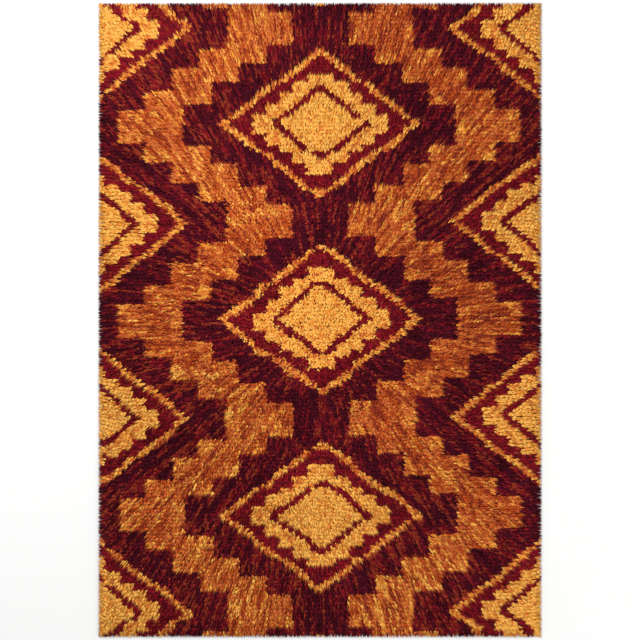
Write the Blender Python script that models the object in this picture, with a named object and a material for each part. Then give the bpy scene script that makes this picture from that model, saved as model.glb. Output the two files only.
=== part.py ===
"""A rya rug that lies flat on a floor.

It is one thick slab of long cut wool pile on its ground cloth: flat below, lumpy on top, with a soft
shoulder all round, and locks of yarn that splay from its rim and lie on the floor.
X runs across the rug, Y along it, and Z up. The origin is on the floor, under the rug's middle.
"""

import math
import random

import bmesh
import bpy
from mathutils import Vector, noise

# Driving dimensions, in metres
RUG_WIDTH = 1.400
RUG_LENGTH = 2.000
PILE_HEIGHT = 0.0235
LOCK_REACH = 0.022

# The slab's section at its rim, from the edge of the lumpy top out to the wall and down
SHOULDER_WIDTH = 0.026
BROW_INSET = 0.0105
BROW_DROP = 0.0035
BROW_RADIUS = 0.016
WALL_HEIGHT = 0.0150
WALL_RADIUS = 0.012

# The lumps of the pile: broad ones, and the clumps of yarn on them
CELLS_ACROSS = 30
CELLS_ALONG = 44
LUMP_HEIGHT = 0.0065
LUMP_PITCH = 0.125
CLUMP_HEIGHT = 0.0072
CLUMP_PITCH = 0.061
CLUMP_SHIFT = 0.0140

# Where each unevenness is read from the same noise
LUMP_LAYER = 3.1
CLUMP_LAYER = 9.7
SHIFT_LAYERS = (21.3, 37.9)

# The locks at the rim, which bend over at a neck and come to a point on the floor
LOCK_NECK = 0.52
NECK_WIDTH = 0.0115
NECK_HEIGHT = 0.0080
LOCK_LEAN = 0.25
LOCK_LENGTHS = (0.55, 0.97)
CORNER_FAN = 0.060
CORNER_STRETCH = 0.016
LOCK_SEED = 41
SMALLEST = 1.0e-6

WOOL_COLOUR = (0.58, 0.16, 0.035, 1.0)
WOOL_ROUGHNESS = 0.95
SHARP_ANGLE = math.radians(50.0)


def clear_scene():
    for obj in list(bpy.data.objects):
        bpy.data.objects.remove(obj, do_unlink=True)


def wool_material():
    material = bpy.data.materials.new("wool_pile")
    material.use_nodes = True
    shader = material.node_tree.nodes["Principled BSDF"]
    shader.inputs["Base Color"].default_value = WOOL_COLOUR
    shader.inputs["Roughness"].default_value = WOOL_ROUGHNESS
    shader.inputs["Metallic"].default_value = 0.0
    return material


def layer(x, y, pitch, depth):
    """Smooth noise over the floor plan, from about -0.5 to 0.5."""
    return noise.noise(Vector((x / pitch, y / pitch, depth)))


def pile_height(x, y):
    lump = LUMP_HEIGHT * layer(x, y, LUMP_PITCH, LUMP_LAYER)
    clump = CLUMP_HEIGHT * layer(x, y, CLUMP_PITCH, CLUMP_LAYER)
    return PILE_HEIGHT + lump + clump


def boundary(bm):
    return [edge for edge in bm.edges if edge.is_boundary]


def lumpy_top(bm, half_width, half_length):
    """The top of the pile, a grid whose open edge is cut twice as fine as its cells."""
    bmesh.ops.create_grid(bm, x_segments=CELLS_ACROSS, y_segments=CELLS_ALONG, size=1.0)
    bmesh.ops.scale(bm, vec=(half_width, half_length, 1.0), verts=bm.verts)
    bmesh.ops.subdivide_edges(bm, edges=boundary(bm), cuts=1)
    for vert in bm.verts:
        x, y = vert.co.xy
        vert.co.z = pile_height(x, y)
        if not vert.is_boundary:
            vert.co.x += CLUMP_SHIFT * layer(x, y, CLUMP_PITCH, SHIFT_LAYERS[0])
            vert.co.y += CLUMP_SHIFT * layer(x, y, CLUMP_PITCH, SHIFT_LAYERS[1])


def way_out(point, half_width, half_length, radius):
    """The middle of the corner or side that a point lies by, and the direction out from there."""
    core = Vector(
        (
            max(radius - half_width, min(half_width - radius, point.x)),
            max(radius - half_length, min(half_length - radius, point.y)),
        )
    )
    return core, (point.xy - core).normalized()


def add_ring(bm, half_width, half_length, radius, height=None):
    """Extrudes the open edge to a rectangle with round corners, at one height or BROW_DROP lower."""
    made = bmesh.ops.extrude_edge_only(bm, edges=boundary(bm))["geom"]
    verts = [item for item in made if isinstance(item, bmesh.types.BMVert)]
    wider = half_width / max(vert.co.x for vert in verts)
    longer = half_length / max(vert.co.y for vert in verts)
    for vert in verts:
        spot = Vector((vert.co.x * wider, vert.co.y * longer, 0.0))
        core, outward = way_out(spot, half_width, half_length, radius)
        low = vert.co.z - BROW_DROP if height is None else height
        vert.co = (core + outward * radius).to_3d() + Vector((0.0, 0.0, low))
    return [item for item in made if isinstance(item, bmesh.types.BMFace)]


def room_for(point, heading):
    """How far a lock can go from a point along a heading before it leaves the rug's width and length."""
    across = (RUG_WIDTH / 2 - abs(point.x)) / max(abs(heading.x), SMALLEST)
    lengthways = (RUG_LENGTH / 2 - abs(point.y)) / max(abs(heading.y), SMALLEST)
    return min(across, lengthways)


def splay_locks(bm, wall, half_width, half_length):
    """Draws each face of the wall out into a lock that narrows to a point and lies level on the floor.

    The locks fan out round the corners, and those next to a corner are the longest.
    """
    draw = random.Random(LOCK_SEED)
    made = bmesh.ops.extrude_discrete_faces(bm, faces=wall)["faces"]
    tips = {}
    for face in made:
        middle = face.calc_center_median()
        outward = way_out(middle, half_width, half_length, CORNER_FAN)[1]
        along = Vector((-outward.y, outward.x))
        from_corner = half_width - abs(middle.x) + half_length - abs(middle.y)
        share = draw.uniform(*LOCK_LENGTHS)
        lean = draw.uniform(-LOCK_LEAN, LOCK_LEAN)
        if from_corner < CORNER_STRETCH:
            share = 1.0
            lean = 0.0
        heading = outward + along * lean
        stride = heading * room_for(middle, heading) * share
        for vert in face.verts:
            half_neck = math.copysign(NECK_WIDTH / 2, (vert.co - middle).xy.dot(along))
            spot = middle.xy + stride * LOCK_NECK + along * half_neck
            vert.co = (spot.x, spot.y, NECK_HEIGHT if vert.co.z > middle.z else 0.0)
        tips[face] = (middle.xy + stride).to_3d()
    for face, tip in tips.items():
        bmesh.ops.poke(bm, faces=[face])["verts"][0].co = tip


def build_rug(collection):
    half_width = RUG_WIDTH / 2 - LOCK_REACH
    half_length = RUG_LENGTH / 2 - LOCK_REACH
    bm = bmesh.new()
    lumpy_top(bm, half_width - SHOULDER_WIDTH, half_length - SHOULDER_WIDTH)
    add_ring(bm, half_width - BROW_INSET, half_length - BROW_INSET, BROW_RADIUS)
    add_ring(bm, half_width, half_length, WALL_RADIUS, WALL_HEIGHT)
    wall = add_ring(bm, half_width, half_length, WALL_RADIUS, 0.0)
    bmesh.ops.contextual_create(bm, geom=boundary(bm))
    splay_locks(bm, wall, half_width, half_length)
    bmesh.ops.triangulate(bm, faces=bm.faces)
    bmesh.ops.recalc_face_normals(bm, faces=bm.faces)
    mesh = bpy.data.meshes.new("rug")
    bm.to_mesh(mesh)
    bm.free()
    mesh.materials.append(wool_material())
    mesh.shade_smooth()
    mesh.set_sharp_from_angle(angle=SHARP_ANGLE)
    collection.objects.link(bpy.data.objects.new("rug", mesh))


def main():
    clear_scene()
    collection = bpy.data.collections.new("rya_rug")
    bpy.context.scene.collection.children.link(collection)
    build_rug(collection)


main()
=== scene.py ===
"""Looks of a rya rug: a woven wool ground and the long cut pile knotted into it, laid flat on a pale floor.

Metres, +Z up, X across the rug and Y along it. The pile is made yarn by yarn, each one closed shape, and the
yarns of one colour are joined. The pile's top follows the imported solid, and its rim reaches as far as the
solid's locks do.
"""

import math

import bmesh
import bpy
import numpy as np
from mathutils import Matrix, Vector
from mathutils.bvhtree import BVHTree


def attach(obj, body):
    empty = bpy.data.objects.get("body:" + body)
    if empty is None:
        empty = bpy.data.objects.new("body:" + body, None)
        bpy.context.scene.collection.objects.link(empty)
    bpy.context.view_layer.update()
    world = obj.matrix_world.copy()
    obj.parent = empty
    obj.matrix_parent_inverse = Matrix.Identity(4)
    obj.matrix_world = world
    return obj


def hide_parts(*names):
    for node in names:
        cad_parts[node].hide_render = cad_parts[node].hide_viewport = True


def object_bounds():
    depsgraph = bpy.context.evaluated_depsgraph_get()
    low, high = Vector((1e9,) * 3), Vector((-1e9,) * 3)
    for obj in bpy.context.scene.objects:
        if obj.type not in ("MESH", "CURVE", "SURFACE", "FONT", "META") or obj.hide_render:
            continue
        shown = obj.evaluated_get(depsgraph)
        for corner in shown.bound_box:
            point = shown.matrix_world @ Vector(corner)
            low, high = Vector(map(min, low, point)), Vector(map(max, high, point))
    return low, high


bl_info = {
    "name": "Rya Rug",
    "version": (1, 0, 0),
    "blender": (4, 5, 0),
    "location": "View3D > Sidebar > Rya Rug",
    "description": "A woven ground with long knotted pile in a pattern of stepped lozenges",
    "category": "Add Mesh",
}

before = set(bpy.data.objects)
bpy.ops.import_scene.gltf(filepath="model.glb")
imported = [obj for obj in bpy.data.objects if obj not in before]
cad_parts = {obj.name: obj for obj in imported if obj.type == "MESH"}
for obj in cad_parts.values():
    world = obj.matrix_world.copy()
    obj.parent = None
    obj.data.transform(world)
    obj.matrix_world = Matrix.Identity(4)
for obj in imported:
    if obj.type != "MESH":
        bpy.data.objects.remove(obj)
CAD_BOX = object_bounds()
RUG = "rug"
BODY = "root"
GROUND = "rug_ground"

# The bands of a lozenge from its heart out: the step where each ends, how many steps its edge takes at
# once, and its shares of each yarn, which add up to 1
BANDS = {
    "heart": (9, 1, {"gold": 0.68, "amber": 0.28, "orange": 0.04}),
    "outline": (11, 1, {"rust": 0.06, "crimson": 0.74, "wine": 0.20}),
    "sun": (15, 3, {"gold": 0.58, "amber": 0.30, "orange": 0.12}),
    "crimson_band": (20, 1, {"rust": 0.05, "crimson": 0.70, "wine": 0.20, "plum": 0.05}),
    "line": (22, 1, {"gold": 0.22, "amber": 0.36, "orange": 0.32, "burnt_orange": 0.10}),
    "night": (30, 6, {"rust": 0.14, "crimson": 0.16, "wine": 0.20, "plum": 0.50}),
    "glow": (33, 3, {"gold": 0.08, "amber": 0.26, "orange": 0.38, "burnt_orange": 0.20, "rust": 0.08}),
    "field": (math.inf, 1, {"gold": 0.04, "amber": 0.10, "orange": 0.34, "burnt_orange": 0.31, "rust": 0.21}),
}
# Bands whose shades run in streaks
STREAKED_BANDS = ("night", "glow", "field")

# How a yarn's shade is drawn from its band's: by itself and with its knot, and in a streaked band by that
# draw and with its streak. Broad clouds make some streaks lighter than others
OWN_SHARE = 0.45
KNOT_SHARE = 0.55
DRAWN_SHARE = 0.42
STREAK_SHARE = 0.58
SHADE_CLOUD_PITCH = 0.35
SHADE_CLOUD_STRENGTH = 0.35

# The darkest and the lightest tone of a yarn, as shares of its colour. Dark wool varies more
TONE_RANGE = (0.86, 1.12)
DARK_TONE_RANGE = (0.45, 1.62)
DARK_YARNS = ("crimson", "wine", "plum")
# How far tones differ over the rug, from knot to knot and from yarn to yarn, as shares of that range
TONE_CLOUD_PITCH = 0.09
TONE_CLOUD_STRENGTH = 0.35
KNOT_TONES = 0.10
YARN_TONES = 0.13

# A yarn's looks: its turns of twist, the painted shade at its root, darkened and reddened as if in the pile's
# shadow and lit by light bounced between the yarns, how far up that goes, and the pitch of its fibres
TWISTS = 5.0
ROOT_PAINTED_SHADE = (0.80, 0.50, 0.30, 1.0)
ROOT_SHADE_FADE = (0.05, 0.60)
FIBRES_ROUND = 10.0
FIBRES_TURNED = 6.0
FIBRES_ALONG = 3.0
FIBRES_APART = 40.0
# Painted shade and light: how light the wool is painted in its deepest grooves, where shade falls, the
# painted light that its twist adds on its ridges, the tone that its fibres add, and their relief
DEEPEST_GROOVE_SHADE = 0.74
TWIST_PAINTED_LIGHT = 0.16
FIBRE_LIGHT = 0.36
WOOL_RELIEF = 0.6
WOOL_DEPTH = 0.0008

# The ground's weave, and the soft steps round its rows of knots and round each knot
WARP_PITCH = 0.0066
WEFT_PITCH = 0.0029
ROW_STEP = (0.80, 0.97)
KNOT_STEP = (0.30, 0.70)
# The scale of the noise in its wool, its least light, what the noise adds to that, and its relief
GROUND_NOISE = 160.0
GROUND_LEAST_LIGHT = 0.75
NOISE_LIGHT = 0.5
WEAVE_RELIEF = 0.6
NOISE_RELIEF = 0.2
GROUND_DEPTH = 0.0012
# Cells of the ground's mesh across and along
GROUND_CELLS = (21, 30)

# Where the lay swirls: the distance from swirl to swirl, and how strongly it turns the yarns
SWIRLS = ((0.17, 0.6), (0.05, 0.3), (0.016, 0.35))
# How gently the lay turns round a corner, as a share of the splay's width
CORNER_TURN = 0.45
# How far a cut end is out of line, as a share of the yarn pitch, and a root, as a share of the knot pitch
OUT_OF_LINE = 0.42
ROOT_SPREAD = 0.12

# The least and the most of a yarn's reach and width, as shares of those in its measures
REACHES = (0.85, 1.15)
WIDTHS = (0.82, 1.18)
# Where a yarn bends, as a share of the way to its cut end, how far that place may stray, and its height as
# a share of the pile's. A yarn that stands up bends further out and is wider
BENDS = (0.36, 0.56)
BEND_STRAY = 0.0010
BEND_HEIGHTS = (0.70, 0.90)
STANDING_BEND = 0.50
STANDING_WIDTH = 1.25
# The lowest cut end inside the rim, as a share of the pile's height, and how much more of them are higher up
LOWEST_END = 0.80
LEVEL_ENDS = 0.4
# Nearer to the rug's edge than this, cut ends hang down over the ground's edge
RIM_DROP = 0.012
# How far a bend may be above its cut end, at the rug's edge and how much more inside
RIM_ARCH = 0.002
PILE_ARCH = 0.004
# The lowest that a cut end lies, as a share of its yarn's half width, and that any point does
END_LIFT = 0.4
LOWEST = 0.0002

# A yarn has this many sides, and its tone is one of this many strips of its UV map, each with a margin
SIDES = 3
TONES = 48
STRIP_MARGIN = 0.10
END_MARGIN = 0.01
# So many yarns of 6 triangles stay under 200,000 triangles in a piece
MOST_YARNS = 33000
SEED = 20260
SMALLEST = 1e-6

# The stage
FLOOR_REACH = 14.0
FLOOR_GAP = 0.0004
FLOOR_ROUGHNESS = 0.7
KEY_PLACE = (-1.9, 2.4, 3.4)
KEY_WIDTH = 2.0
FILL_PLACE = (2.6, -1.8, 3.0)
FILL_WIDTH = 2.6
SENSOR_WIDTH = 36.0
WHITE = (1.0, 1.0, 1.0, 1.0)


def length(name, description, default):
    return bpy.props.FloatProperty(name=name, description=description, default=default, unit="LENGTH")


def share(name, description, default):
    return bpy.props.FloatProperty(name=name, description=description, default=default, min=0.0)


def power(name, description, default):
    return bpy.props.FloatProperty(name=name, description=description, default=default, unit="POWER")


def colour(name, description, default):
    return bpy.props.FloatVectorProperty(
        name=name, description=description, default=default, subtype="COLOR", min=0.0, max=1.0
    )


class RugMeasures(bpy.types.PropertyGroup):
    width: length("Ground Width", "Width of the woven ground", 1.365)
    length: length("Ground Length", "Length of the woven ground", 1.965)
    thickness: length("Ground Thickness", "Thickness of the woven ground", 0.003)
    hem: length("Hem", "Width of the hem that is turned under at each end", 0.030)
    hem_fold: length("Hem Fold", "How far the hem stands below the rest of the ground", 0.0010)
    knot_pitch: length("Knot Pitch", "Distance from knot to knot in a row", 0.0100)
    row_pitch: length("Row Pitch", "Distance from row to row of knots", 0.0115)
    yarn_pitch: length("Yarn Pitch", "Distance between the cut ends of the yarns", 0.00414)
    yarn_width: length("Yarn Width", "Width of a cut yarn at its thickest", 0.0062)
    yarn_flatness: share("Yarn Flatness", "Thickness of a lying yarn, as a share of its width", 0.58)
    yarn_reach: length("Yarn Reach", "How far a yarn leans over at most", 0.026)
    trim: length("Trim", "How unevenly the yarns at the rim are cut", 0.0025)
    rim_width: length("Rim Width", "How far in the pile's round rim goes", 0.035)
    rim_height: length("Rim Height", "Height of the pile's round rim", 0.018)
    splay: length("Splay", "Width of the rim where the pile turns outward", 0.045)
    outward: share("Outward Lay", "How strongly the pile leans away from the rug's middle", 1.7)
    slant: share("Slant", "How far the lay of the two sides turns, up at +X and down at -X", 0.30)
    brushed_across: bpy.props.FloatProperty(
        name="Brushed Across", description="How strongly all the pile leans towards +X", default=0.20
    )
    brushed_along: bpy.props.FloatProperty(
        name="Brushed Along", description="How strongly all the pile leans towards +Y", default=0.10
    )
    least_lean: share("Least Lean", "The least that a yarn leans, as a share of its reach", 0.20)
    unruliness: share("Unruliness", "How much the yarns' leans differ", 0.12)


class RugPattern(bpy.types.PropertyGroup):
    step_across: length("Step Width", "Width of the smallest step in a lozenge's edge", 0.0138)
    step_along: length("Step Height", "Height of the smallest step in a lozenge's edge", 0.0104)
    columns: length("Column Pitch", "From one column of lozenges to the next", 0.700)
    rows: length("Lozenge Pitch", "From lozenge to lozenge in a column", 0.600)
    streak_start: length("Streak Start", "Where the streaks begin, from the rug's middle", 0.20)
    streak_width: length("Streak Width", "Width of a streak of one shade where it begins", 0.0045)
    streak_length: length("Streak Length", "Length of a streak of one shade", 0.060)


class RugColours(bpy.types.PropertyGroup):
    gold: colour("Gold", "Colour of the gold yarn", (0.90, 0.44, 0.085))
    amber: colour("Amber", "Colour of the amber yarn", (0.74, 0.27, 0.036))
    orange: colour("Orange", "Colour of the orange yarn", (0.60, 0.145, 0.034))
    burnt_orange: colour("Burnt Orange", "Colour of the burnt orange yarn", (0.45, 0.070, 0.012))
    rust: colour("Rust", "Colour of the rust yarn", (0.27, 0.034, 0.014))
    crimson: colour("Crimson", "Colour of the crimson yarn", (0.190, 0.006, 0.012))
    wine: colour("Wine", "Colour of the wine yarn", (0.120, 0.006, 0.011))
    plum: colour("Plum", "Colour of the plum yarn", (0.056, 0.0035, 0.0095))
    # The ground's wool is kept dark, partly its own brown and partly painted shade where it shows deep
    # between the yarns; the colour between its raised wefts is painted shade
    ground_light: colour("Ground Light", "Colour of the ground's raised wefts", (0.22, 0.075, 0.032))
    ground_dark: colour("Ground Dark", "Colour between the ground's wefts", (0.10, 0.028, 0.013))


class RugStage(bpy.types.PropertyGroup):
    floor_colour: colour("Floor Colour", "Colour of the floor", (0.68, 0.68, 0.675))
    camera_height: length("Camera Height", "Height of the camera over the floor", 4.2)
    picture_height: length("Picture Height", "Length of floor that the picture takes in", 2.0)
    key_power: power("Key Light", "Power of the main soft light", 172.0)
    fill_power: power("Fill Light", "Power of the soft light from the other side", 70.0)
    sky: share("Surroundings", "Brightness of the even light all round", 0.72)


YARN_NAMES = [name for name in RugColours.__annotations__ if not name.startswith("ground")]


def measures():
    return bpy.context.scene.rug_measures


def colours(name, factor=1.0):
    """One of the rug's colours, made lighter or darker, with an alpha of 1."""
    chosen = getattr(bpy.context.scene.rug_colours, name)
    return (*(min(1.0, channel * factor) for channel in chosen), 1.0)


class Sock:
    """A node's output, with Python's operators as Math nodes."""

    def __init__(self, tree, socket):
        self.tree = tree
        self.socket = socket

    def math(self, operation, *values):
        return self.tree.node("ShaderNodeMath", {"operation": operation}, values)

    def __add__(self, other):
        return self.math("ADD", self, other)

    def __rsub__(self, other):
        return self.math("SUBTRACT", other, self)

    def __mul__(self, other):
        return self.math("MULTIPLY", self, other)

    def __truediv__(self, other):
        return self.math("DIVIDE", self, other)

    __radd__ = __add__
    __rmul__ = __mul__

    def floor(self):
        return self.math("FLOOR", self)

    def fract(self):
        return self.math("FRACT", self)

    def wave(self, pitch):
        """A sine wave from 0 to 1."""
        return self.math("SINE", self * (2 * math.pi / pitch)) * 0.5 + 0.5

    def smooth(self, low, high):
        """0 below low and 1 above high, with a soft step between."""
        return self.tree.node(
            "ShaderNodeMapRange",
            {"interpolation_type": "SMOOTHSTEP"},
            {"Value": self, "From Min": low, "From Max": high},
        )

    def outputs(self, count):
        """The first outputs of the node that this one belongs to."""
        return [Sock(self.tree, socket) for socket in list(self.socket.node.outputs)[:count]]


class Tree:
    """A material's node tree, with one method that adds any node."""

    def __init__(self, name):
        self.material = bpy.data.materials.new(name)
        self.material.use_nodes = True
        self.nodes = self.material.node_tree.nodes
        self.links = self.material.node_tree.links
        self.shader = self.nodes["Principled BSDF"]

    def node(self, kind, settings, inputs, output=0):
        made = self.nodes.new(kind)
        for key, value in settings.items():
            setattr(made, key, value)
        for key, value in inputs.items() if isinstance(inputs, dict) else enumerate(inputs):
            self.feed(made.inputs[key], value)
        return Sock(self, made.outputs[output])

    def feed(self, socket, value):
        if isinstance(value, Sock):
            self.links.new(value.socket, socket)
        else:
            socket.default_value = value

    def finish(self, **values):
        """Sets the shader's sockets, by their names with _ for each space."""
        for name, value in values.items():
            self.feed(self.shader.inputs[name.replace("_", " ")], value)
        return self.material

    def mix(self, factor, first, second, blend="MIX"):
        """Two colours mixed."""
        settings = {"data_type": "RGBA", "blend_type": blend}
        return self.node("ShaderNodeMix", settings, {0: factor, 6: first, 7: second}, output=2)

    def shade(self, tint, gain):
        """A colour multiplied by a number."""
        return self.mix(1.0, tint, self.node("ShaderNodeCombineColor", {}, [gain, gain, gain]), "MULTIPLY")

    def bump(self, height, strength, distance):
        return self.node("ShaderNodeBump", {}, {"Height": height, "Strength": strength, "Distance": distance})


def yarn_material(name):
    """Twisted wool with painted shade at the root and in the grooves of its twist, its tone from the strip of
    the UV map that a yarn lies on.
    """
    tree = Tree("wool_" + name)
    where = tree.node("ShaderNodeUVMap", {"uv_map": "OFBake"}, {})
    across, along = tree.node("ShaderNodeSeparateXYZ", {}, [where]).outputs(2)
    tone = (across * TONES).floor() / (TONES - 1)
    around = (across * TONES).fract()
    twist = (around + along * TWISTS).wave(1.0)
    # Fibres turn round the yarn on their way along it, and each strip has its own
    turned = around * FIBRES_ROUND + along * FIBRES_TURNED
    place = tree.node("ShaderNodeCombineXYZ", {}, [turned, along * FIBRES_ALONG, tone * FIBRES_APART])
    fibre = tree.node("ShaderNodeTexNoise", {}, {"Vector": place, "Scale": 3.0, "Detail": 2.0})
    darkest, lightest = DARK_TONE_RANGE if name in DARK_YARNS else TONE_RANGE
    light = tree.mix(tone, colours(name, darkest), colours(name, lightest))
    # Painted shade: the root is darkened and reddened as if in the pile's shadow, fading out further up
    root = tree.mix(1.0, light, ROOT_PAINTED_SHADE, "MULTIPLY")
    tint = tree.mix(along.smooth(*ROOT_SHADE_FADE), root, light)
    return tree.finish(
        # Painted shade in the twist's grooves and painted light on its ridges, over the fibres' own tone
        Base_Color=tree.shade(tint, DEEPEST_GROOVE_SHADE + twist * TWIST_PAINTED_LIGHT + fibre * FIBRE_LIGHT),
        Roughness=0.78 + fibre * 0.2,
        Specular_IOR_Level=0.05,
        Sheen_Weight=0.04,
        Sheen_Roughness=0.45,
        Sheen_Tint=colours(name, factor=1.6),
        Normal=tree.bump(twist * WOOL_RELIEF + fibre * WOOL_RELIEF, strength=0.8, distance=WOOL_DEPTH),
    )


def ground_material():
    """A firm wool weave, its wefts packed over its warps, with painted shade between its raised wefts and the
    backs of the knots in rows across it.
    """
    size = measures()
    tree = Tree("ground_weave")
    where = tree.node("ShaderNodeTexCoord", {}, {}, output="Object")
    x, y, _ = tree.node("ShaderNodeSeparateXYZ", {}, [where]).outputs(3)
    # Each weft passes over every other warp, and the next one over those between
    warp = x.wave(WARP_PITCH)
    weft = y.wave(WEFT_PITCH)
    over = warp * weft + (1.0 - warp) * (1.0 - weft)
    row = y.wave(size.row_pitch).smooth(*ROW_STEP)
    knot = x.wave(size.knot_pitch / 2).smooth(*KNOT_STEP) * row
    noise = tree.node("ShaderNodeTexNoise", {}, {"Vector": where, "Scale": GROUND_NOISE, "Detail": 3.0})
    # Painted shade: the weave is darker between its raised wefts, where shade falls
    tint = tree.mix(over, colours("ground_dark"), colours("ground_light"))
    tint = tree.mix(knot, tint, colours("ground_light", factor=1.5))
    return tree.finish(
        Base_Color=tree.shade(tint, GROUND_LEAST_LIGHT + noise * NOISE_LIGHT),
        Roughness=0.92,
        Specular_IOR_Level=0.1,
        Normal=tree.bump(
            over * WEAVE_RELIEF + knot * WEAVE_RELIEF + noise * NOISE_RELIEF,
            strength=0.8,
            distance=GROUND_DEPTH,
        ),
    )


def finish_piece(name, mesh):
    """Every piece rides on the rug's one body."""
    piece = bpy.data.objects.new(name, mesh)
    bpy.context.scene.collection.objects.link(piece)
    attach(piece, BODY)
    return piece


def ease(value):
    """0 at 0 and 1 at 1, with a soft step between."""
    return value * value * (3 - 2 * value)


def soft_noise(x, y, pitch, draw):
    """Smooth noise from 0 to 1 over the floor plan, from random values on a square lattice."""
    u = (x - x.min()) / pitch
    v = (y - y.min()) / pitch
    lattice = draw.random((int(u.max()) + 2, int(v.max()) + 2))
    i = u.astype(int)
    j = v.astype(int)
    s = ease(u - i)
    t = ease(v - j)
    low = lattice[i, j] * (1 - s) + lattice[i + 1, j] * s
    high = lattice[i, j + 1] * (1 - s) + lattice[i + 1, j + 1] * s
    return low * (1 - t) + high * t


def lozenge_steps(x, y, coarse):
    """Steps from the heart of the nearest lozenge, over the columns at the middle and the rug's sides."""
    chart = bpy.context.scene.rug_pattern
    wide = chart.step_across * coarse
    high = chart.step_along * coarse
    from_column = np.abs(x)
    from_heart = np.abs((y + chart.rows / 2) % chart.rows - chart.rows / 2)
    middle = np.floor(from_column / wide) + np.floor(from_heart / high)
    from_side = np.abs(chart.columns - from_column)
    side = np.floor(from_side / wide) + np.floor((chart.rows / 2 - from_heart) / high)
    return np.minimum(middle, side) * coarse


def band_of(x, y):
    """The index in BANDS for each place."""
    band = np.empty(x.shape, int)
    for index, (end, coarse, _) in reversed(list(enumerate(BANDS.values()))):
        band[lozenge_steps(x, y, coarse) < end] = index
    return band


def streaks(x, y, draw):
    """A value from 0 to 1 for each place, the same all along a streak. Streaks run out from the middle."""
    chart = bpy.context.scene.rug_pattern
    far = np.hypot(x, y)
    turn = np.arctan2(y, x) / (2 * math.pi) + 0.5
    # Twice as far out there are twice as many streaks, so their width stays alike
    ring = np.log2(far / chart.streak_start).clip(0).astype(int)
    fan = (turn * (2 * math.pi * chart.streak_start / chart.streak_width) * 2**ring).astype(int)
    start = draw.random((ring.max() + 1, fan.max() + 1))[ring, fan]
    part = (far / chart.streak_length + start).astype(int)
    return draw.random((ring.max() + 1, fan.max() + 1, part.max() + 1))[ring, fan, part]


def choose_yarns(knot, knot_x, knot_y, x, y, draw):
    """An index in YARN_NAMES for each cut yarn, from the shares of the band that its knot is in.

    Yarns of a knot tend to be alike, and so do yarns whose cut ends lie on one streak.
    """
    band = band_of(knot_x, knot_y)
    pick = draw.random(x.size) * OWN_SHARE + draw.random(knot.max() + 1)[knot] * KNOT_SHARE
    streak = streaks(x, y, draw) + soft_noise(x, y, SHADE_CLOUD_PITCH, draw) * SHADE_CLOUD_STRENGTH
    chosen = np.empty(x.size, int)
    for index, (name, (_, _, shares)) in enumerate(BANDS.items()):
        here = np.flatnonzero(band == index)
        wish = pick[here]
        if name in STREAKED_BANDS:
            wish = wish * DRAWN_SHARE + streak[here] * STREAK_SHARE
        limits = np.cumsum([shares.get(yarn, 0.0) for yarn in YARN_NAMES]) * len(here)
        rank = wish.argsort().argsort() + 0.5
        chosen[here] = np.searchsorted(limits, rank).clip(0, len(YARN_NAMES) - 1)
    return chosen


def cut_ends(draw):
    """Where the yarns are cut: evenly apart all over the rug's outline, each a little out of line."""
    size = measures()
    half_width, half_length = CAD_BOX[1].xy
    x, y = np.meshgrid(
        np.linspace(-half_width, half_width, round(2 * half_width / size.yarn_pitch)),
        np.linspace(-half_length, half_length, round(2 * half_length / size.yarn_pitch)),
    )
    x = x.ravel() + draw.uniform(-OUT_OF_LINE, OUT_OF_LINE, x.size) * size.yarn_pitch
    y = y.ravel() + draw.uniform(-OUT_OF_LINE, OUT_OF_LINE, y.size) * size.yarn_pitch
    trim = draw.uniform(0, size.trim, x.size)
    return x.clip(trim - half_width, half_width - trim), y.clip(trim - half_length, half_length - trim)


def lay(x, y, draw):
    """How far the yarns lean out in X and Y to their cut ends, as shares of their reach.

    The pile leans away from the rug's middle, swirls a little, and points straight out at the rim.
    """
    size = measures()
    half = np.array(CAD_BOX[1].xy)
    place = np.stack([x, y], axis=1)
    lean = place / half * size.outward + (size.brushed_across, size.brushed_along)
    lean[:, 1] += x / half[0] * size.outward * size.slant
    for pitch, strength in SWIRLS:
        turn = [soft_noise(x, y, pitch, draw) - 0.5 for _ in range(2)]
        lean += np.stack(turn, axis=1) * strength
    lean += draw.normal(0, size.unruliness, lean.shape)
    strength = np.linalg.norm(lean, axis=1, keepdims=True)
    lean *= (size.least_lean + (1 - size.least_lean) * strength.clip(0, 1)) / strength
    gap = half - np.abs(place)
    rim = ease((1 - gap.min(axis=1) / size.splay).clip(0, 1))[:, None]
    out = np.sign(place) * np.exp(-gap / (size.splay * CORNER_TURN))
    out /= np.linalg.norm(out, axis=1, keepdims=True)
    return lean * (1 - rim) + out * rim


def nearest_knots(x, y):
    """The number and the place of the knot nearest to each place. Every other row is half a knot over."""
    size = measures()
    rows = round(size.length / size.row_pitch)
    columns = round(size.width / size.knot_pitch) - 1
    row = np.round(y / size.row_pitch + rows / 2 - 0.5).clip(0, rows - 1).astype(int)
    over = (row % 2 - 0.5) / 2
    column = np.round(x / size.knot_pitch + columns / 2 - 0.5 - over).clip(0, columns - 1).astype(int)
    knot_x = (column - columns / 2 + 0.5 + over) * size.knot_pitch
    knot_y = (row - rows / 2 + 0.5) * size.row_pitch
    return row * columns + column, knot_x, knot_y


def pile_top():
    """A function that gives the pile's height at places in the floor plan.

    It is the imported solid's top, and a full round rim where the solid has only its locks.
    """
    size = measures()
    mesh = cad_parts[RUG].data
    points = [vert.co.copy() for vert in mesh.vertices]
    tree = BVHTree.FromPolygons(points, [tuple(polygon.vertices) for polygon in mesh.polygons])
    above = CAD_BOX[1].z * 2
    down = Vector((0, 0, -1))

    def read(x, y):
        hits = (tree.ray_cast(Vector((a, b, above)), down)[0] for a, b in zip(x, y))
        solid = np.array([0.0 if hit is None else hit.z for hit in hits])
        gap = np.minimum(CAD_BOX[1].x - np.abs(x), CAD_BOX[1].y - np.abs(y))
        rim = np.sqrt(1 - (1 - gap / size.rim_width).clip(0, 1) ** 2) * size.rim_height
        return np.maximum(solid, rim)

    return read


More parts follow.
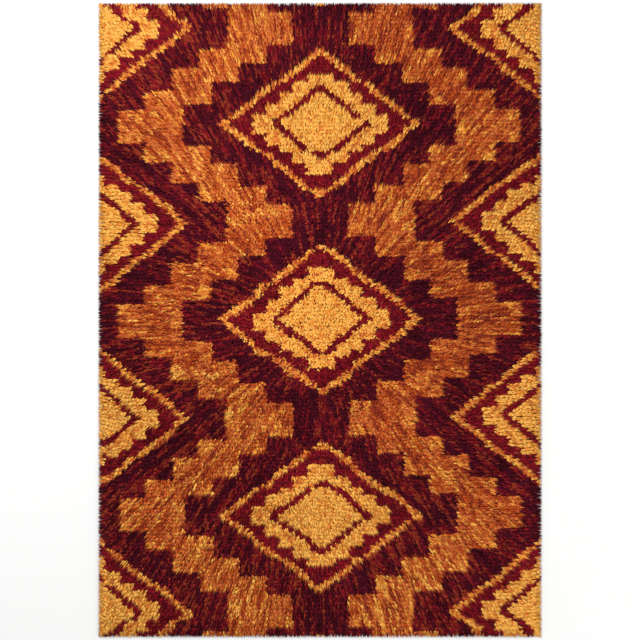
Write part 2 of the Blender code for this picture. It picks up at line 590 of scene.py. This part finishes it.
def yarn_shape():
    """A cut yarn as one closed shape: a point at its root, a ring at its bend and a point at its cut end.

    Returns each point's station (0 at the root, 1 at the bend, 2 at the end), its side, and the faces.
    """
    bm = bmesh.new()
    bmesh.ops.create_uvsphere(bm, u_segments=SIDES, v_segments=2, radius=1.0)
    bmesh.ops.recalc_face_normals(bm, faces=bm.faces)
    bm.verts.index_update()
    station = np.array([round(vert.co.z) + 1 for vert in bm.verts])
    turn = np.array([math.atan2(vert.co.y, vert.co.x) for vert in bm.verts])
    first = turn[station == 1].min()
    side = np.round((turn - first) / (2 * math.pi / SIDES)).astype(int)
    faces = [[vert.index for vert in face.verts] for face in bm.faces]
    bm.free()
    return station, side, faces


def shape_uvs(station, side, faces):
    """For each corner of a yarn's faces, its place round the yarn and along it, both from 0 to 1."""
    uvs = []
    for corners in faces:
        ring = [i for i in corners if station[i] == 1]
        last = {side[i] for i in ring} == {0, SIDES - 1}
        around = {i: SIDES if last and side[i] == 0 else side[i] for i in ring}
        for i in corners:
            uvs.append((around.get(i, np.mean(list(around.values()))) / SIDES, station[i] / 2))
    return np.array(uvs)


def unit(vectors):
    return vectors / np.linalg.norm(vectors, axis=1, keepdims=True).clip(SMALLEST)


def yarn_points(root, tip, read_top, draw, shape):
    """The points of every yarn, each bent over from its root towards its cut end."""
    size = measures()
    station, side, _ = shape
    count = len(tip)
    standing = (1 - np.linalg.norm(tip - root, axis=1) / size.yarn_reach).clip(0, 1)
    half = size.yarn_width / 2 * draw.uniform(*WIDTHS, count) * (1 + STANDING_WIDTH * standing)
    flatness = size.yarn_flatness + (1 - size.yarn_flatness) * standing
    bend_share = draw.uniform(*BENDS, count) + STANDING_BEND * standing
    bend = root + (tip - root) * bend_share[:, None] + draw.normal(0, BEND_STRAY, root.shape)
    root_z = np.full(count, size.thickness / 2)
    # Inside the rim the cut ends are nearly level, and at the rug's edge they lie at any height
    inner = ((np.array(CAD_BOX[1].xy) - np.abs(tip)).min(axis=1) / RIM_DROP).clip(0, 1)
    lowest = LOWEST_END * inner
    height_share = lowest + (1 - lowest) * draw.random(count) ** (1 - LEVEL_ENDS * inner)
    tip_z = np.maximum(read_top(*tip.T) * height_share, half * END_LIFT)
    highest = np.minimum(read_top(*bend.T), tip_z + RIM_ARCH + PILE_ARCH * inner)
    bend_z = np.maximum(highest * draw.uniform(*BEND_HEIGHTS, count), half * size.yarn_flatness)
    stations = ((root, root_z), (bend, bend_z), (tip, tip_z))
    spine = np.stack([np.column_stack(pair) for pair in stations], axis=1)
    axis = unit(spine[:, 2] - spine[:, 0])
    level = unit(np.cross(axis, (0.0, 0.0, 1.0)))
    upright = np.cross(axis, level)
    phase = draw.uniform(0, 2 * math.pi, count)
    points = np.empty((count, len(station), 3))
    for i, (ring, place) in enumerate(zip(station, side)):
        points[:, i] = spine[:, ring]
        if ring == 1:
            angle = (phase + place * 2 * math.pi / SIDES)[:, None]
            out = level * np.cos(angle) + upright * np.sin(angle) * flatness[:, None]
            points[:, i] += out * half[:, None]
    points[:, :, 2] = points[:, :, 2].clip(LOWEST, None)
    return points


def joined_yarns(name, points, tones, shape, uvs):
    """One mesh of many yarns, each a copy of one yarn's faces."""
    faces = shape[2]
    count, per_yarn = points.shape[:2]
    corners = np.concatenate(faces)
    sizes = np.tile([len(face) for face in faces], count)
    loops = corners[None, :] + np.arange(count)[:, None] * per_yarn
    mesh = bpy.data.meshes.new(name)
    mesh.vertices.add(count * per_yarn)
    mesh.vertices.foreach_set("co", points.astype(np.float32).ravel())
    mesh.loops.add(loops.size)
    mesh.loops.foreach_set("vertex_index", loops.astype(np.int32).ravel())
    mesh.polygons.add(sizes.size)
    mesh.polygons.foreach_set("loop_start", (np.cumsum(sizes) - sizes).astype(np.int32))
    mesh.update(calc_edges=True)
    mesh.shade_smooth()
    strip = np.floor(tones * TONES).clip(0, TONES - 1)
    uv = np.empty((count, corners.size, 2), np.float32)
    uv[:, :, 0] = (strip[:, None] + STRIP_MARGIN + (1 - 2 * STRIP_MARGIN) * uvs[None, :, 0]) / TONES
    uv[:, :, 1] = END_MARGIN + (1 - 2 * END_MARGIN) * uvs[None, :, 1]
    mesh.uv_layers.new(name="OFBake").data.foreach_set("uv", uv.ravel())
    return mesh


class RUG_OT_weave_ground(bpy.types.Operator):
    """Weave the ground cloth that carries the knots, with a hem turned under at each end"""

    bl_idname = "rug.weave_ground"
    bl_label = "Weave Ground"

    def execute(self, context):
        size = measures()
        hem_start = size.length / 2 - size.hem
        bm = bmesh.new()
        bmesh.ops.create_grid(bm, x_segments=GROUND_CELLS[0], y_segments=GROUND_CELLS[1], size=0.5)
        bmesh.ops.scale(bm, vec=(size.width, size.length, 1.0), verts=bm.verts)
        for cut in (hem_start, hem_start - size.hem_fold):
            for end in (-1, 1):
                geom = bm.verts[:] + bm.edges[:] + bm.faces[:]
                bmesh.ops.bisect_plane(bm, geom=geom, plane_co=(0, end * cut, 0), plane_no=(0, end, 0))
        raised = [vert for vert in bm.verts if abs(vert.co.y) < hem_start - size.hem_fold / 2]
        made = bmesh.ops.extrude_face_region(bm, geom=bm.faces[:], use_keep_orig=True)["geom"]
        top = [item for item in made if isinstance(item, bmesh.types.BMVert)]
        bmesh.ops.translate(bm, vec=(0.0, 0.0, size.thickness), verts=top)
        bmesh.ops.translate(bm, vec=(0.0, 0.0, size.hem_fold), verts=raised)
        bmesh.ops.recalc_face_normals(bm, faces=bm.faces)
        mesh = bpy.data.meshes.new(GROUND)
        bm.to_mesh(mesh)
        bm.free()
        mesh.materials.append(ground_material())
        ground = finish_piece(GROUND, mesh)
        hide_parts(RUG)
        return {"FINISHED"}


class RUG_OT_knot_pile(bpy.types.Operator):
    """Knot the pile, yarn by yarn, and join the yarns of each colour"""

    bl_idname = "rug.knot_pile"
    bl_label = "Knot Pile"

    def execute(self, context):
        size = measures()
        draw = np.random.default_rng(SEED)
        x, y = cut_ends(draw)
        reach = size.yarn_reach * draw.uniform(*REACHES, x.size)
        lean = lay(x, y, draw) * reach[:, None]
        knot, knot_x, knot_y = nearest_knots(x - lean[:, 0], y - lean[:, 1])
        root = np.stack([knot_x, knot_y], axis=1) + draw.normal(0, size.knot_pitch * ROOT_SPREAD, (x.size, 2))
        chosen = choose_yarns(knot, knot_x, knot_y, x, y, draw)
        tones = 0.5 + (soft_noise(x, y, TONE_CLOUD_PITCH, draw) - 0.5) * TONE_CLOUD_STRENGTH
        tones += draw.normal(0, KNOT_TONES, knot.max() + 1)[knot] + draw.normal(0, YARN_TONES, x.size)
        tones = tones.clip(0, 1)
        shape = yarn_shape()
        uvs = shape_uvs(*shape)
        points = yarn_points(root, np.stack([x, y], axis=1), pile_top(), draw, shape)
        for index, name in enumerate(YARN_NAMES):
            material = yarn_material(name)
            mine = np.flatnonzero(chosen == index)
            parts = math.ceil(len(mine) / MOST_YARNS)
            for part in range(parts):
                some = mine[part::parts]
                title = f"pile_{name}" if parts == 1 else f"pile_{name}_{part + 1}"
                mesh = joined_yarns(title, points[some], tones[some], shape, uvs)
                mesh.materials.append(material)
                finish_piece(title, mesh)
        return {"FINISHED"}


class RUG_OT_set_stage(bpy.types.Operator):
    """Set the pale floor, the soft lights and the camera over the rug"""

    bl_idname = "rug.set_stage"
    bl_label = "Set Stage"

    def execute(self, context):
        stage = context.scene.rug_stage
        bm = bmesh.new()
        bmesh.ops.create_grid(bm, x_segments=1, y_segments=1, size=FLOOR_REACH)
        bmesh.ops.translate(bm, vec=(0.0, 0.0, -FLOOR_GAP), verts=bm.verts)
        mesh = bpy.data.meshes.new("floor")
        bm.to_mesh(mesh)
        bm.free()
        material = Tree("floor").finish(Base_Color=(*stage.floor_colour, 1.0), Roughness=FLOOR_ROUGHNESS)
        mesh.materials.append(material)
        floor = bpy.data.objects.new("floor", mesh)
        context.scene.collection.objects.link(floor)
        self.add_light("key", KEY_PLACE, stage.key_power, KEY_WIDTH)
        self.add_light("fill", FILL_PLACE, stage.fill_power, FILL_WIDTH)
        world = bpy.data.worlds.new("surroundings")
        world.use_nodes = True
        world.node_tree.nodes["Background"].inputs["Color"].default_value = WHITE
        world.node_tree.nodes["Background"].inputs["Strength"].default_value = stage.sky
        context.scene.world = world
        camera = bpy.data.cameras.new("camera")
        camera.sensor_width = SENSOR_WIDTH
        camera.lens = camera.sensor_width * (stage.camera_height - CAD_BOX[1].z) / stage.picture_height
        eye = bpy.data.objects.new("camera", camera)
        eye.location = (0.0, 0.0, stage.camera_height)
        context.scene.collection.objects.link(eye)
        context.scene.camera = eye
        context.scene.view_settings.view_transform = "Standard"
        return {"FINISHED"}

    def add_light(self, name, place, watts, width):
        lamp = bpy.data.lights.new(name, "AREA")
        lamp.energy = watts
        lamp.shape = "SQUARE"
        lamp.size = width
        obj = bpy.data.objects.new(name, lamp)
        obj.location = place
        obj.rotation_euler = (-Vector(place)).to_track_quat("-Z", "Y").to_euler()
        bpy.context.scene.collection.objects.link(obj)


class RUG_PT_sidebar(bpy.types.Panel):
    bl_idname = "RUG_PT_sidebar"
    bl_label = "Rya Rug"
    bl_space_type = "VIEW_3D"
    bl_region_type = "UI"
    bl_category = "Rya Rug"

    def draw(self, context):
        for name in GROUPS:
            group = getattr(context.scene, name)
            box = self.layout.box()
            for key in group.__annotations__:
                box.prop(group, key)
        for operator in OPERATORS:
            self.layout.operator(operator.bl_idname)


GROUPS = {
    "rug_measures": RugMeasures,
    "rug_pattern": RugPattern,
    "rug_colours": RugColours,
    "rug_stage": RugStage,
}
OPERATORS = (RUG_OT_weave_ground, RUG_OT_knot_pile, RUG_OT_set_stage)
CLASSES = (*GROUPS.values(), *OPERATORS, RUG_PT_sidebar)


def register():
    for cls in CLASSES:
        bpy.utils.register_class(cls)
    for name, group in GROUPS.items():
        setattr(bpy.types.Scene, name, bpy.props.PointerProperty(type=group))


def unregister():
    for name in GROUPS:
        delattr(bpy.types.Scene, name)
    for cls in reversed(CLASSES):
        bpy.utils.unregister_class(cls)


def main():
    register()
    bpy.ops.rug.weave_ground()
    bpy.ops.rug.knot_pile()
    bpy.ops.rug.set_stage()


if __name__ == "__main__":
    main()
